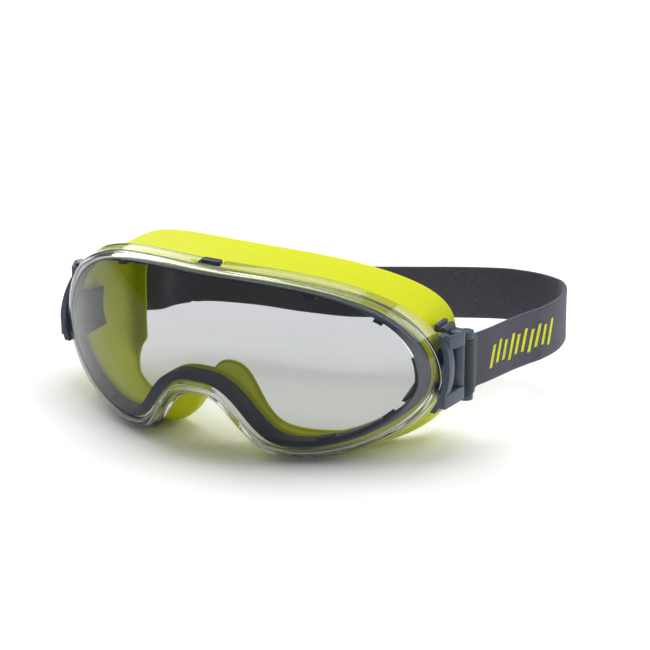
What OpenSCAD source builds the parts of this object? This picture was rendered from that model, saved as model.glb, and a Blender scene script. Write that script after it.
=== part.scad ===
// Panoramic safety goggles with a clear turned-back lens, a hard frame ring,
// a soft face seal, two lens clips hinged on the temples and an elastic
// headband. Millimetres, +Z up, the wearer looks along -Y, +X is the wearer's
// left. The seal and the headband loop are behind the lens (+Y).

/* [Lens] */
// Width of the lens across the temples
lens_w = 189; // [168:1:226]
// Height from the lowest edge line to the top edge
lens_h = 84; // [70:1:102]
// Height of the widest line of the lens
lens_mid = 36; // [30:1:43]
// Thickness of the clear panel
lens_t = 1.8; // [1.4:0.1:2.4]
// Depth of the turned-back rim, from the panel's face
rim_d = 10; // [8:0.5:12]
// Depth of the rim over the nose
rim_nose = 4.5; // [3:0.5:7]
// Radius of the side-to-side curve
wrap_r = 92; // [80:1:112]
// Radius of the up-and-down curve
tilt_r = 110; // [90:1:180]
// Height of the top of the nose arch
nose_h = 28; // [22:1:34]
// Half width of the nose arch at half its height
nose_w = 19.6; // [16:0.2:24]
// Width of the notch in the rim for the top latch
notch_w = 11; // [9:0.5:14]

/* [Frame] */
// Gap between the lens and the hard frame
lens_gap = 0.3; // [0.2:0.05:0.6]
// Wall of the frame ring
frame_t = 1.4; // [1:0.1:1.8]
// Depth of the solid part of the ring, behind the panel's face
frame_d = 8.5; // [7:0.5:10]
// Width of the frame seen round the eye opening, at the top
lip_top = 2; // [2:0.1:3.5]
// The same at the temples
lip_side = 4.4; // [3.4:0.1:6]
// The same at the bottom
lip_bottom = 6; // [5:0.1:8]
// The same over the nose
lip_nose = 6.4; // [5:0.1:8]
// Width of the frame's front band at the temples
band_side = 2.8; // [2.2:0.1:3.4]
// The same at the bottom
band_bottom = 3.4; // [2.6:0.1:4.2]
// The same over the nose
band_nose = 3.8; // [3:0.1:4.4]
// Length of the plates inside the temples
plate_l = 19; // [12:0.5:22]

/* [Face seal] */
// Width of the seal where it meets the face
seal_w = 163; // [145:1:196]
// Height of the seal where it meets the face
seal_h = 83.5; // [70:1:101]
// How far the seal reaches behind the nose of the lens, at the brow
seal_brow = 50; // [44:1:60]
// Radius of the face across the brow and cheeks
face_r = 85; // [75:1:110]
// Thickness of the soft wall
seal_t = 2.4; // [1.6:0.1:3.2]
// Width of the lip turned in against the brow
seal_lip = 10; // [6:0.5:13]
// The same at the temples
seal_side_lip = 10; // [7:0.5:12]

/* [Clips and strap mounts] */
// How far the clip hinge stands out from the middle plane of the rim edge
hinge_out = 0.5; // [0:0.1:2]
// Distance of the clip hinge behind the widest point of the rim's face
hinge_back = 13.6; // [13:0.1:18]
// Distance of the strap bar behind the clip hinge
bar_back = 8.2; // [7.8:0.1:12]
// Radius of the clip hinge pin
hinge_r = 1.5; // [1.2:0.1:1.7]
// Radius of the strap bar
bar_r = 2; // [1.5:0.1:2.4]
// Running clearance round a pin
pin_gap = 0.08; // [0.03:0.01:0.1]
// Clearance between parts that pass each other
side_gap = 0.3; // [0.2:0.05:0.5]
// Thickness of the clip
clip_t = 2.6; // [2:0.1:3.2]
// Width of the clip's front plate, along the rim
clip_plate = 5; // [3.5:0.5:6]
// Height of each clip arm
arm_h = 6; // [4.5:0.1:7]

/* [Headband] */
// Width of the elastic webbing
strap_w = 24.5; // [20:0.5:28]
// Thickness of the webbing
strap_t = 1.6; // [1.2:0.1:2]
// Height of the webbing's lower edge
strap_z = 24.3; // [21:0.1:28]
// Depth of the headband loop behind the strap bars
loop_l = 91.6; // [72:0.2:130]
// Length of the doubled end of the webbing, from the bar's centre
sleeve_l = 8; // [7:0.5:12]
// Travel of the length slider
slider_travel = 4.5; // [3:0.5:5]

/* [Quality] */
// Points round half of the lens outline
half_n = 56; // [40:2:72]

/* [Hidden] */
$fn = 48;

hw = lens_w / 2;
// lowest line of the outline before the nose arch is added
dip = 4;
// fullness of the outline's upper corners
top_n = 2.7;

// ---- outlines: each is a closed list of [x, z] points, from the top centre
// round the wearer's left side, under the nose and back up the right side.
function sgn(x) = x < 0 ? -1 : 1;
function sup(t, n, m) = pow(max(0, 1 - pow(min(1, abs(t)), n)), m);
function top_z(x) = lens_mid + (lens_h - lens_mid) * sup(x / hw, top_n, 0.5);
function low_z(x) = lens_mid - (lens_mid + dip) * sup(x / hw, 3, 0.55)
  + (nose_h + dip) / (1 + pow(abs(x) / nose_w, 3.3));
nt = floor(half_n * 0.42);
nb = half_n - nt;
// station of each point: 0 top centre, 0.5 temple, 1 nose
function station(i) = i <= nt ? 0.5 * i / nt : 0.5 + 0.5 * (i - nt) / nb;
function half_pt(i) = i <= nt
  ? let (x = hw * sin(90 * i / nt)) [x, top_z(x)]
  : let (v = (i - nt) / nb, x = hw * cos(90 * v)) [x, low_z(x)];
function mirrored(H) = concat(H,
  [for (i = [len(H) - 2 : -1 : 1]) [-H[i][0], H[i][1]]]);
full_n = 2 * half_n;
function st(k) = station(k <= half_n ? k : full_n - k);
O = mirrored([for (i = [0 : half_n]) half_pt(i)]);

// outline moved inward by d(k), in the upright plane
function unit(v) = v / norm(v);
function inset(P, D) = [for (k = [0 : len(P) - 1])
  let (t = unit(P[(k + 1) % len(P)] - P[(k + len(P) - 1) % len(P)]))
  P[k] + [t[1], -t[0]] * D[k]];
function each_st(T) = [for (k = [0 : full_n - 1]) lookup(st(k), T)];
function const(d) = [for (k = [0 : full_n - 1]) d];

// ---- the curved face of the panel
function face_y(x, z) = x * x / (2 * wrap_r)
  + (z - lens_mid) * (z - lens_mid) / (2 * tilt_r);
function ring(P, d) = [for (p = P) [p[0], face_y(p[0], p[1]) + d, p[1]]];
function ring_by(P, D) = [for (k = [0 : len(P) - 1]) [P[k][0], face_y(P[k][0], P[k][1]) + D[k], P[k][1]]];

// ---- closed skins through rings of equal length
function skin_faces(r, n, wrap) = [for (j = [0 : (wrap ? r - 1 : r - 2)], k = [0 : n - 1])
  let (a = j * n + k, b = j * n + (k + 1) % n,
       c = ((j + 1) % r) * n + (k + 1) % n, d = ((j + 1) % r) * n + k)
  each [[a, c, b], [a, d, c]]];
module torus_skin(R) {
  n = len(R[0]);
  polyhedron([for (r = R) each r], skin_faces(len(R), n, true), 10);
}
// rings closed by a point at each end
module capped_skin(R, A, B) {
  n = len(R[0]); r = len(R);
  pts = concat([for (q = R) each q], [A, B]);
  polyhedron(pts, concat(skin_faces(r, n, false),
    [for (k = [0 : n - 1]) [r * n, k, (k + 1) % n]],
    [for (k = [0 : n - 1]) [r * n + 1, (r - 1) * n + (k + 1) % n, (r - 1) * n + k]]), 10);
}

// how far the rim flares out from the panel's edge to its own rear edge
FLARE = [[0, 0.4], [0.3, 0.7], [0.45, 2], [0.56, 2], [0.7, 3], [0.86, 3], [1, 2.4]];
RIM = [[0, rim_d], [0.86, rim_d], [0.95, rim_nose], [1, rim_nose]];
// insets that the pieces share, from the rim's rear edge
function fl(s) = lookup(s, FLARE);
function o_frame(s) = fl(s) + lens_t + lens_gap;
LIPW = [[0, lip_top], [0.25, lip_top + 0.3], [0.42, (lip_top + lip_side) / 2 + 0.4],
  [0.5, lip_side], [0.7, lip_bottom], [0.86, lip_bottom], [0.93, lip_nose], [1, lip_nose]];
FL = each_st(FLARE);
OF = [for (k = [0 : full_n - 1]) o_frame(st(k))];
AP = [for (k = [0 : full_n - 1]) o_frame(st(k)) + lookup(st(k), LIPW)];
RD = each_st(RIM);
frame_wall_d = rim_d + 1;

// ---- lens
lens_c = [0, lens_h * 0.82];
function shrink(P, s) = [for (p = P) lens_c + (p - lens_c) * s];
module lens() color([0.86, 0.9, 0.92, 0.35]) difference() {
  let (F = inset(O, FL), E = inset(O, FL + const(1.1)), I = inset(O, FL + const(lens_t)),
    S = [0.2, 0.4, 0.56, 0.7, 0.82, 0.92])
  capped_skin(concat(
    [for (s = S) ring(shrink(E, s), 0)],
    [ring(E, 0), ring(F, 0.9), ring_by(O, RD)],
    [ring_by(inset(O, const(lens_t)), RD), ring(I, lens_t)],
    [for (i = [len(S) - 1 : -1 : 0]) ring(shrink(I, S[i]), lens_t)]),
    [0, face_y(0, lens_c[1]), lens_c[1]],
    [0, face_y(0, lens_c[1]) + lens_t, lens_c[1]]);
  // notch in the rim for the top latch
  translate([-notch_w / 2, latch_y - 0.8, lens_h - 6]) cube([notch_w, 30, 12]);
}

// ---- frame ring: front lip and inner wall in one, with a thin outer wall
BAND = each_st([[0, lip_top - 1], [0.25, lip_top - 0.8], [0.42, band_side - 0.1], [0.5, band_side],
  [0.7, band_bottom], [0.86, band_bottom], [0.93, band_nose], [1, band_nose]]);
web_d = frame_d - 0.8;
module frame() color([0.27, 0.31, 0.38]) {
  front = lens_t + lens_gap;
  A = inset(O, OF); B = inset(O, OF + const(frame_t)); C = inset(O, AP); D = inset(O, AP - BAND);
  torus_skin([ring(D, front), ring(D, web_d), ring(A, web_d), ring(A, frame_wall_d), ring(B, frame_wall_d),
    ring(B, frame_d), ring(C, frame_d), ring(C, front)]);
}
// soft bead moulded in front of the frame's web, between its band and the lens rim
module seal_bead() color([0.8, 0.83, 0.06]) {
  A = inset(O, OF + const(0.2)); D = inset(O, AP - BAND - const(0.15));
  torus_skin([ring(A, web_d - 1), ring(A, web_d - 0.1), ring(D, web_d - 0.1), ring(D, web_d - 1)]);
}

// ---- face seal
seal_hw = seal_w / 2;
seal_mid = seal_h * 0.4;
rear_y0 = seal_brow;
seal_low = 0.4;
function rear_top(x) = seal_mid + (seal_h - seal_mid - 12 * pow(x / seal_hw, 2)) * sup(x / seal_hw, 3.4, 0.25);
function rear_low(x) = seal_mid - (seal_mid - seal_low) * sup(x / seal_hw, 6, 0.2)
  + (nose_h + 2) / (1 + pow(abs(x) / (nose_w * 0.64), 3));
function rear_half(i) = i <= nt
  ? let (x = seal_hw * sin(90 * i / nt)) [x, rear_top(x)]
  : let (v = (i - nt) / nb, x = seal_hw * cos(90 * v)) [x, rear_low(x)];
Rr = mirrored([for (i = [0 : half_n]) rear_half(i)]);
// the face: set back at the temples, forward under the nose
function rear_y(x, z, s) = rear_y0 + x * x / (2 * face_r)
  - lookup(s, [[0.54, 0], [0.62, 5], [0.7, 11], [0.8, 13], [1, 15]]);
function rear_ring(P, d) = [for (k = [0 : full_n - 1])
  [P[k][0], rear_y(P[k][0], P[k][1], st(k)) + d, P[k][1]]];
function mix(A, B, w) = [for (k = [0 : len(A) - 1]) A[k] * (1 - w[k]) + B[k] * w[k]];
LIP = each_st([[0, seal_lip], [0.3, seal_lip], [0.42, seal_side_lip], [0.56, seal_side_lip], [0.64, seal_lip * 0.4], [1, seal_lip * 0.35]]);
OS = OF + const(frame_t + 0.2);
OUT = [for (k = [0 : full_n - 1]) let (s = st(k)) o_frame(s)
  + lookup(s, [[0, -0.6], [0.36, -0.2], [0.44, frame_t + 1.1], [0.58, frame_t + 1.1], [0.66, 0.4], [0.84, -1.2], [1, 0.5]])];
module face_seal() color([0.8, 0.83, 0.06]) {
  A = inset(O, OS); C = inset(O, AP);
  F = ring(A, frame_d + 0.1);
  F2 = ring(A, frame_wall_d + side_gap);
  G = ring(inset(O, OUT), frame_wall_d + side_gap + 0.9);
  Re = rear_ring(Rr, 0);
  Rf = rear_ring(inset(Rr, const(-1.2)), -11);
  Ri = rear_ring(inset(Rr, LIP), 0.6);
  Rj = rear_ring(inset(Rr, LIP), -1.2);
  Rk = rear_ring(inset(Rr, const(seal_t)), -seal_t);
  Rm = rear_ring(inset(Rr, const(seal_t - 0.4)), -11);
  H = ring(C, frame_d + 0.1);
  H2 = ring(inset(O, AP + const(0.3)), frame_wall_d + 1.5);
  torus_skin([F, F2, G, mix(G, Rf, const(0.5)), Rf, Re, Ri, Rj, Rk, Rm,
    mix(H2, Rm, const(0.5)), H2, H]);
}

// ---- top latch: a small bar, pressed down to free the lens
latch_w = 9.2; latch_d = 3.9; latch_h = 2.2;
// travel of the latch
latch_travel = 0.9;
latch_y = face_y(0, lens_h) + 6;
latch_z = lens_h - o_frame(0) + latch_travel + side_gap;
module rounded_bar(w, d, h, r) translate([-w / 2, 0, 0]) linear_extrude(h)
  union() { translate([r, 0]) square([w - 2 * r, d]); translate([0, r]) square([w, d - 2 * r]);
    for (x = [r, w - r], y = [r, d - r]) translate([x, y]) circle(r, $fn = 24); }
module top_latch() color([0.22, 0.25, 0.3])
  translate([0, latch_y, latch_z]) rounded_bar(latch_w, latch_d, latch_h, 1.2);

// ---- pieces of the temples, drawn for the wearer's left and mirrored
module side(s) { if (s < 0) mirror([1, 0, 0]) children(); else children(); }
temple_y = face_y(hw, lens_mid);
hx = hw + hinge_out;
hy = temple_y + hinge_back;
bx = hx;
by = hy + bar_back;
strap_top = strap_z + strap_w;
wall_x1 = hw - o_frame(0.5) - 0.1;
wall_x0 = wall_x1 - 1.9;
wall_y0 = face_y(hw - o_frame(0.5), lens_mid) + frame_wall_d;
// rearmost line of the turned-back rim at the temples
rim_y1 = temple_y + rim_d;
post_r = 2.9;
eye_r = 3;
knuckle_r = bar_r + 1.2;
knuckle_h = 3.4;
knuckle_low = 2.6;
top_arm_z = strap_top + 0.1;
low_arm_z = strap_z + 6.2 - arm_h;
post_z0 = low_arm_z + arm_h + side_gap;
post_z1 = top_arm_z - side_gap;
mount_z0 = strap_z - side_gap - knuckle_low;
mount_z1 = strap_top + side_gap + knuckle_h;

// strip of wall that follows the outline between two stations
PL0 = 0.41; PL1 = 0.62;
PLK = [for (k = [0 : half_n]) if (station(k) >= PL0 && station(k) <= PL1) k];
function plate_row(ext, d) = let (R = ring(inset(O, AP + const(ext)), d)) [for (k = PLK) R[k]];
module temple_plate(s) color([0.31, 0.35, 0.38]) side(s) {
  d0 = lens_t + lens_gap + 2; d1 = d0 + plate_l;
  a = plate_row(0.15, d0); b = plate_row(3.4, d1); c = plate_row(5.0, d1); f = plate_row(1.75, d0);
  n = len(PLK);
  pts = concat(a, b, c, f);
  quads = [for (j = [0 : 3], k = [0 : n - 2])
    let (p = j * n + k, q = j * n + k + 1, r = ((j + 1) % 4) * n + k + 1, t = ((j + 1) % 4) * n + k)
    each [[p, r, q], [p, t, r]]];
  difference() {
    polyhedron(pts, concat(quads, [[0, 2 * n, n], [0, 3 * n, 2 * n]],
      [[n - 1, 2 * n - 1, 3 * n - 1], [n - 1, 3 * n - 1, 4 * n - 1]]), 10);
    for (z = [strap_z + 2.5, strap_top + 1])
      translate([hw - 25, temple_y + 7.5, z]) cube([20, 7, 1.6]);
  }
}

// ribbed block on top of each strap mount
module vent_block(s) color([0.25, 0.29, 0.36]) side(s) {
  z0 = mount_z1 + 0.05; y0 = wall_y0 + 4.2; vent_l = 9.3;
  translate([wall_x0, y0, z0]) cube([wall_x1 - wall_x0, vent_l, 2]);
  translate([wall_x0 - 3.6, y0, z0 + 1.2]) cube([wall_x1 - wall_x0 + 3.6, vent_l, 1.6]);
  for (i = [0 : 1]) translate([wall_x0 - 3.6 + i * 3.1, y0, z0 + 1.2]) cube([2, vent_l, 3.2 - i * 0.8]);
}

module strap_mount(s) color([0.26, 0.3, 0.37]) side(s) difference() {
  union() {
    translate([wall_x0, wall_y0 - 0.1, mount_z0 + 3]) cube([wall_x1 - wall_x0, by + 1.6 - wall_y0, post_z1 - mount_z0 - 3]);
    translate([wall_x0, rim_y1 + side_gap, mount_z0]) cube([wall_x1 - wall_x0, by + 1.6 - rim_y1, mount_z1 - mount_z0]);
    // post that carries the clip hinge
    translate([hx, hy, post_z0]) cylinder(r = post_r, h = post_z1 - post_z0);
    translate([wall_x1 - 0.5, hy - 1.6, post_z0]) cube([hx - wall_x1 + 0.5, 3.2, post_z1 - post_z0]);
    // knuckles that carry the strap bar
    for (q = [[mount_z0, knuckle_low], [strap_top + side_gap, knuckle_h]]) {
      translate([bx, by, q[0]]) cylinder(r = knuckle_r, h = q[1]);
      translate([wall_x1 - 0.5, by - 1.7, q[0]]) cube([bx - wall_x1 + 0.5, 3.4, q[1]]);
    }
  }
  translate([hx, hy, mount_z0 - 1]) cylinder(r = hinge_r, h = mount_z1 - mount_z0 + 2);
  translate([bx, by, mount_z0 - 1]) cylinder(r = bar_r, h = mount_z1 - mount_z0 + 2);
}
module strap_bar(s) color([0.24, 0.27, 0.33]) side(s)
  translate([bx, by, mount_z0]) cylinder(r = bar_r, h = mount_z1 - mount_z0);
module clip_pin(s) color([0.62, 0.64, 0.67]) side(s)
  translate([hx, hy, low_arm_z]) cylinder(r = hinge_r, h = top_arm_z + arm_h - low_arm_z);

// C-shaped lens clip
clip_in = 0.4;
// the plate's front edge leans back as it rises
clip_y0 = temple_y - 4;
clip_lean = 0.3;
clip_z0 = low_arm_z - 1.5;
clip_z1 = top_arm_z + arm_h - 0.5;
function edge_x(z) = z > lens_mid
  ? hw * pow(1 - pow((z - lens_mid) / (lens_h - lens_mid), 2), 1 / top_n)
  : hw * pow(1 - pow((lens_mid - z) / (lens_mid + dip), 1 / 0.55), 1 / 3);
module clip(s) color([0.29, 0.33, 0.4]) side(s) difference() {
  union() {
    // front plate, following the rim
    multmatrix([[1, 0, 0, 0], [0, 1, clip_lean, clip_y0 - clip_lean * clip_z0], [0, 0, 1, 0]])
      rotate([90, 0, 0]) mirror([0, 0, 1]) linear_extrude(clip_plate)
      polygon(concat(
        [for (i = [0 : 12]) let (z = clip_z0 + (clip_z1 - clip_z0) * i / 12) [edge_x(z) + clip_in, z]],
        [for (i = [12 : -1 : 0]) let (z = clip_z0 + (clip_z1 - clip_z0) * i / 12) [edge_x(z) + clip_in + clip_t, z]]));
    for (z = [low_arm_z, top_arm_z]) translate([0, 0, z]) linear_extrude(arm_h)
      let (xi = max(edge_x(z), edge_x(z + arm_h)) + clip_in, yf = clip_y0 + clip_lean * (z - clip_z0) + clip_plate - 3) {
      polygon([[xi, yf], [xi + clip_t, yf],
        [hx + eye_r, hy - 1], [hx + eye_r, hy], [hx + eye_r - clip_t, hy], [hx + eye_r - clip_t, hy - 3],
        [hw + clip_in, yf + 4], [max(xi, hw + clip_in), yf + 2.5]]);
      translate([hx, hy]) circle(eye_r);
    }
  }
  translate([hx, hy, low_arm_z - 1]) cylinder(r = hinge_r + pin_gap, h = top_arm_z + arm_h - low_arm_z + 2);
}

// ---- headband: webbing from bar to bar, seen from above
sl_y = by + sleeve_l;
// straight run on the wearer's right that carries the slider
slider_len = 9; slider_t = 4.4; slider_rim = 2.6;
run_a = [-bx, sl_y]; run_dir = unit([1.1, 1]); run_l = slider_len + slider_travel + 14.5;
P0 = [bx, sl_y];
// shape of the loop: shares of the bar's distance from the middle and of the loop depth
SHAPE = [[1.03, 0.19], [1.065, 0.36], [1.1, 0.485], [1.125, 0.565], [1.14, 0.68], [1.135, 0.77],
  [1.11, 0.87], [1.065, 0.94], [1.01, 0.975], [0.92, 1], [0.815, 1], [0.72, 0.98], [0.545, 0.9],
  [0.345, 0.79], [0.15, 0.685], [0.03, 0.636], [-0.18, 0.598], [-0.39, 0.58], [-0.6, 0.525],
  [-0.7, 0.46], [-0.755, 0.38]];
CP = concat([P0 - [0, 6], P0 - [0, 1.5]], [for (q = SHAPE) [q[0] * bx, by + q[1] * loop_l]],
  [for (t = [run_l, run_l - 8, 10, -1.5, -6]) run_a + run_dir * t]);
function cr(a, b, c, d, t) = 0.5 * ((2 * b) + (c - a) * t + (2 * a - 5 * b + 4 * c - d) * t * t
  + (3 * b - a - 3 * c + d) * t * t * t);
PATH = concat([for (i = [1 : len(CP) - 3], j = [0 : 2]) cr(CP[i - 1], CP[i], CP[i + 1], CP[i + 2], j / 3)],
  [CP[len(CP) - 2]]);
function side_pt(P, k, d) = let (n = len(P), a = P[max(0, k - 1)], b = P[min(n - 1, k + 1)], t = unit(b - a))
  P[k] + [t[1], -t[0]] * d;
module headband() color([0.3, 0.29, 0.35]) translate([0, 0, strap_z]) linear_extrude(strap_w)
  difference() {
    polygon(concat([for (k = [0 : len(PATH) - 1]) side_pt(PATH, k, strap_t / 2)],
      [for (k = [len(PATH) - 1 : -1 : 0]) side_pt(PATH, k, -strap_t / 2)]));
    // both ends butt square against the sewn sleeves
    translate([-2 * lens_w, sl_y - 20]) square([4 * lens_w, 20]);
  }

// doubled end of the webbing, sewn round the bar
loop_r = bar_r + side_gap + strap_t;
module strap_sleeve(s) color([0.24, 0.28, 0.3]) side(s)
  translate([bx, by, strap_z + 0.05]) linear_extrude(strap_w - 0.1) difference() {
    union() {
      circle(loop_r);
      polygon(concat([for (a = [180 : 15 : 360]) [loop_r * cos(a), loop_r * sin(a) * 0.2]],
        [[loop_r, 0], [loop_r * 0.8, loop_r * 0.6], [strap_t, sleeve_l - 2], [strap_t, sleeve_l], [-strap_t, sleeve_l],
         [-strap_t, sleeve_l - 2], [-loop_r * 0.8, loop_r * 0.6], [-loop_r, 0]]));
    }
    circle(bar_r + side_gap);
  }

// length slider on the wearer's right
sl_pos = run_a + run_dir * 1.5;
module strap_slider() color([0.26, 0.3, 0.37])
  translate([sl_pos[0], sl_pos[1], 0]) rotate([0, 0, atan2(run_dir[1], run_dir[0]) - 90]) difference() {
    translate([-slider_t / 2, 0, strap_z - slider_rim]) cube([slider_t, slider_len, strap_w + 2 * slider_rim]);
    translate([-strap_t / 2 - side_gap, -1, strap_z - side_gap]) cube([strap_t + 2 * side_gap, slider_len + 2, strap_w + 2 * side_gap]);
    for (y = [1.6, 5.2]) translate([-slider_t, y, strap_z + 1.5]) cube([slider_t * 2, 2.2, strap_w - 3]);
  }

// ---- the whole part stands with its middle over the origin
xs = [for (p = PATH) p[0]];
place_x = -(max(max(xs) + strap_t / 2, bx + loop_r) + min(min(xs) - strap_t / 2, -bx - loop_r)) / 2;
ys = [for (p = PATH) p[1]];
place_y = -(max(ys) + strap_t / 2) / 2;
place_z = -min([for (p = inset(Rr, const(-1.2))) p[1]]);
module placed() translate([place_x, place_y, place_z]) children();

placed() lens();
placed() frame();
placed() face_seal();
placed() seal_bead();
placed() top_latch();
placed() temple_plate(1);  // temple_plate_left
placed() temple_plate(-1);  // temple_plate_right
placed() vent_block(1);  // vent_block_left
placed() vent_block(-1);  // vent_block_right
placed() strap_mount(1);  // strap_mount_left
placed() strap_mount(-1);  // strap_mount_right
placed() strap_bar(1);  // strap_bar_left
placed() strap_bar(-1);  // strap_bar_right
placed() clip(1);  // clip_left
placed() clip(-1);  // clip_right
placed() clip_pin(1);  // clip_pin_left
placed() clip_pin(-1);  // clip_pin_right
placed() headband();
placed() strap_sleeve(1);  // strap_sleeve_left
placed() strap_sleeve(-1);  // strap_sleeve_right
placed() strap_slider();
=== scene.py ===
"""Panoramic safety goggles: the looks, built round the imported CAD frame.

Sizes in the classes are in millimetres, in the goggles' own drawing space: X from the
middle towards the wearer's left, Y back from the foremost line of the lens, Z up from
the floor. Seat moves points from there into the CAD frame, in metres.
"""
import logging
import math
from dataclasses import dataclass
from enum import Enum
from typing import Callable, Iterable, Optional, Sequence

import bmesh
import bpy
import numpy as np
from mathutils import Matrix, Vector


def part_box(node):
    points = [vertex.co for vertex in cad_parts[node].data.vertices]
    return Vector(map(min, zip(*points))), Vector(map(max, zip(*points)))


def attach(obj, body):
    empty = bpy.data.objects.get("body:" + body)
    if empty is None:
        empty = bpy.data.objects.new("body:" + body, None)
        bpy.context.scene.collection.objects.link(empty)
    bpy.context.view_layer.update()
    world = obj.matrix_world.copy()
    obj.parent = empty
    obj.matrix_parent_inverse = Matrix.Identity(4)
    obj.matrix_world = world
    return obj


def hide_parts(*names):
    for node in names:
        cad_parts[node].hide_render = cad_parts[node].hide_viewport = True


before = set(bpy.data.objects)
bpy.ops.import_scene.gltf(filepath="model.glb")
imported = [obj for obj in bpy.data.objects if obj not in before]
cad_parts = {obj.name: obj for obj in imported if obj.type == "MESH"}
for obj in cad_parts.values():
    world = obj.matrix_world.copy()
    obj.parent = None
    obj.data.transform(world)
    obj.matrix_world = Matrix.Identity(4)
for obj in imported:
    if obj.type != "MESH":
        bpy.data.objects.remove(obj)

LOG = logging.getLogger("goggles")
MM = 0.001
Colour = tuple[float, float, float]
Table = Sequence[tuple[float, float]]
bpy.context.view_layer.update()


class Hand(Enum):
    """The wearer's side that a piece is on; the value is the sign of its X."""

    LEFT = 1
    RIGHT = -1

    @property
    def word(self) -> str:
        """The side's name, as it ends a piece's name."""
        return self.name.lower()


# ---------------------------------------------------------------- finishes


class NodeSheet:
    """A material's node tree, with short ways to add nodes to it."""

    def __init__(self, name: str) -> None:
        """Start a material with one Principled shader.

        Args:
            name: the material's name.
        """
        self.material = bpy.data.materials.new(name)
        self.material.use_nodes = True
        self.tree = self.material.node_tree
        self.tree.nodes.clear()
        self.output = self.add("ShaderNodeOutputMaterial")
        self.shader = self.add("ShaderNodeBsdfPrincipled")
        self.join(self.shader.outputs[0], self.output.inputs["Surface"])

    def add(self, kind: str, **values: object) -> bpy.types.Node:
        """Add a node and set its properties.

        Args:
            kind: the node's type name.
            values: properties to set on it.

        Returns:
            The new node.
        """
        node = self.tree.nodes.new(kind)
        for key, value in values.items():
            setattr(node, key, value)
        return node

    def join(self, source: bpy.types.NodeSocket, target: bpy.types.NodeSocket) -> None:
        """Link an output to an input."""
        self.tree.links.new(source, target)

    def set(self, **values: float) -> None:
        """Set plain values on the shader; underscores stand for spaces."""
        for key, value in values.items():
            self.shader.inputs[key.replace("_", " ")].default_value = value

    def math(self, operation: str, a: object, b: object = 0.0) -> bpy.types.NodeSocket:
        """Add a Math node.

        Args:
            operation: the node's operation.
            a: a socket or a number.
            b: a socket or a number.

        Returns:
            The node's output.
        """
        node = self.add("ShaderNodeMath", operation=operation)
        for slot, value in enumerate((a, b)):
            if isinstance(value, bpy.types.NodeSocket):
                self.join(value, node.inputs[slot])
            else:
                node.inputs[slot].default_value = float(value)
        return node.outputs[0]

    def noise(
        self, scale: float, detail: float = 2.0, stretch: Optional[Colour] = None
    ) -> bpy.types.NodeSocket:
        """Add a noise texture on the piece's own object coordinates.

        Args:
            scale: features per metre.
            detail: octaves.
            stretch: scale of each axis, if they differ.

        Returns:
            The texture's factor.
        """
        place = self.add("ShaderNodeTexCoord").outputs["Object"]
        if stretch:
            mapping = self.add("ShaderNodeMapping")
            mapping.inputs["Scale"].default_value = stretch
            self.join(place, mapping.inputs["Vector"])
            place = mapping.outputs["Vector"]
        texture = self.add("ShaderNodeTexNoise")
        texture.inputs["Scale"].default_value = scale
        texture.inputs["Detail"].default_value = detail
        self.join(place, texture.inputs["Vector"])
        return texture.outputs["Fac"]

    def ramp(
        self, factor: bpy.types.NodeSocket, stops: Sequence[tuple[float, Colour]]
    ) -> bpy.types.NodeSocket:
        """Add a colour ramp.

        Args:
            factor: the value it reads.
            stops: place and linear colour of each stop.

        Returns:
            The colour.
        """
        node = self.add("ShaderNodeValToRGB")
        elements = node.color_ramp.elements
        while len(elements) < len(stops):
            elements.new(0.5)
        for element, (place, colour) in zip(elements, stops):
            element.position = place
            element.color = (*colour, 1.0)
        self.join(factor, node.inputs["Fac"])
        return node.outputs["Color"]

    def bump(self, height: bpy.types.NodeSocket, strength: float, distance: float) -> None:
        """Drive the shader's normal from a height.

        Args:
            height: the height's socket.
            strength: share of the effect.
            distance: height of one unit, in metres.
        """
        node = self.add("ShaderNodeBump")
        node.inputs["Strength"].default_value = strength
        node.inputs["Distance"].default_value = distance
        self.join(height, node.inputs["Height"])
        self.join(node.outputs[0], self.shader.inputs["Normal"])


def scaled(colour: Colour, factor: float) -> Colour:
    """A colour made lighter or darker by a factor."""
    return tuple(min(1.0, c * factor) for c in colour)


@dataclass(frozen=True)
class MouldedPlastic:
    """Hard moulded plastic with a fine matte texture and faintly polished high spots."""

    name: str
    colour: Colour
    roughness: float = 0.42
    grain: float = 0.00003

    def build(self) -> bpy.types.Material:
        """The finish as a material."""
        sheet = NodeSheet(self.name)
        cloud = sheet.noise(90.0, 3.0)
        sheet.join(
            sheet.ramp(cloud, [(0.3, scaled(self.colour, 0.9)), (0.7, scaled(self.colour, 1.1))]),
            sheet.shader.inputs["Base Color"],
        )
        rough = sheet.math("MULTIPLY_ADD", sheet.noise(400.0, 3.0), 0.16)
        rough.node.inputs[2].default_value = self.roughness - 0.08
        sheet.join(rough, sheet.shader.inputs["Roughness"])
        sheet.bump(sheet.noise(3800.0, 2.0), 0.5, self.grain)
        sheet.set(IOR=1.49)
        return sheet.material


@dataclass(frozen=True)
class SoftSealFinish:
    """Soft moulded elastomer with an even, sandy grain."""

    name: str
    colour: Colour

    def build(self) -> bpy.types.Material:
        """The finish as a material."""
        sheet = NodeSheet(self.name)
        speck = sheet.noise(2400.0, 2.0)
        sheet.join(
            sheet.ramp(speck, [(0.32, scaled(self.colour, 0.86)), (0.68, scaled(self.colour, 1.1))]),
            sheet.shader.inputs["Base Color"],
        )
        rough = sheet.math("MULTIPLY_ADD", sheet.noise(250.0, 3.0), 0.14)
        rough.node.inputs[2].default_value = 0.5
        sheet.join(rough, sheet.shader.inputs["Roughness"])
        sheet.bump(sheet.noise(2600.0, 2.0), 0.55, 0.00008)
        sheet.set(IOR=1.45, Specular_IOR_Level=0.35)
        return sheet.material


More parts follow.
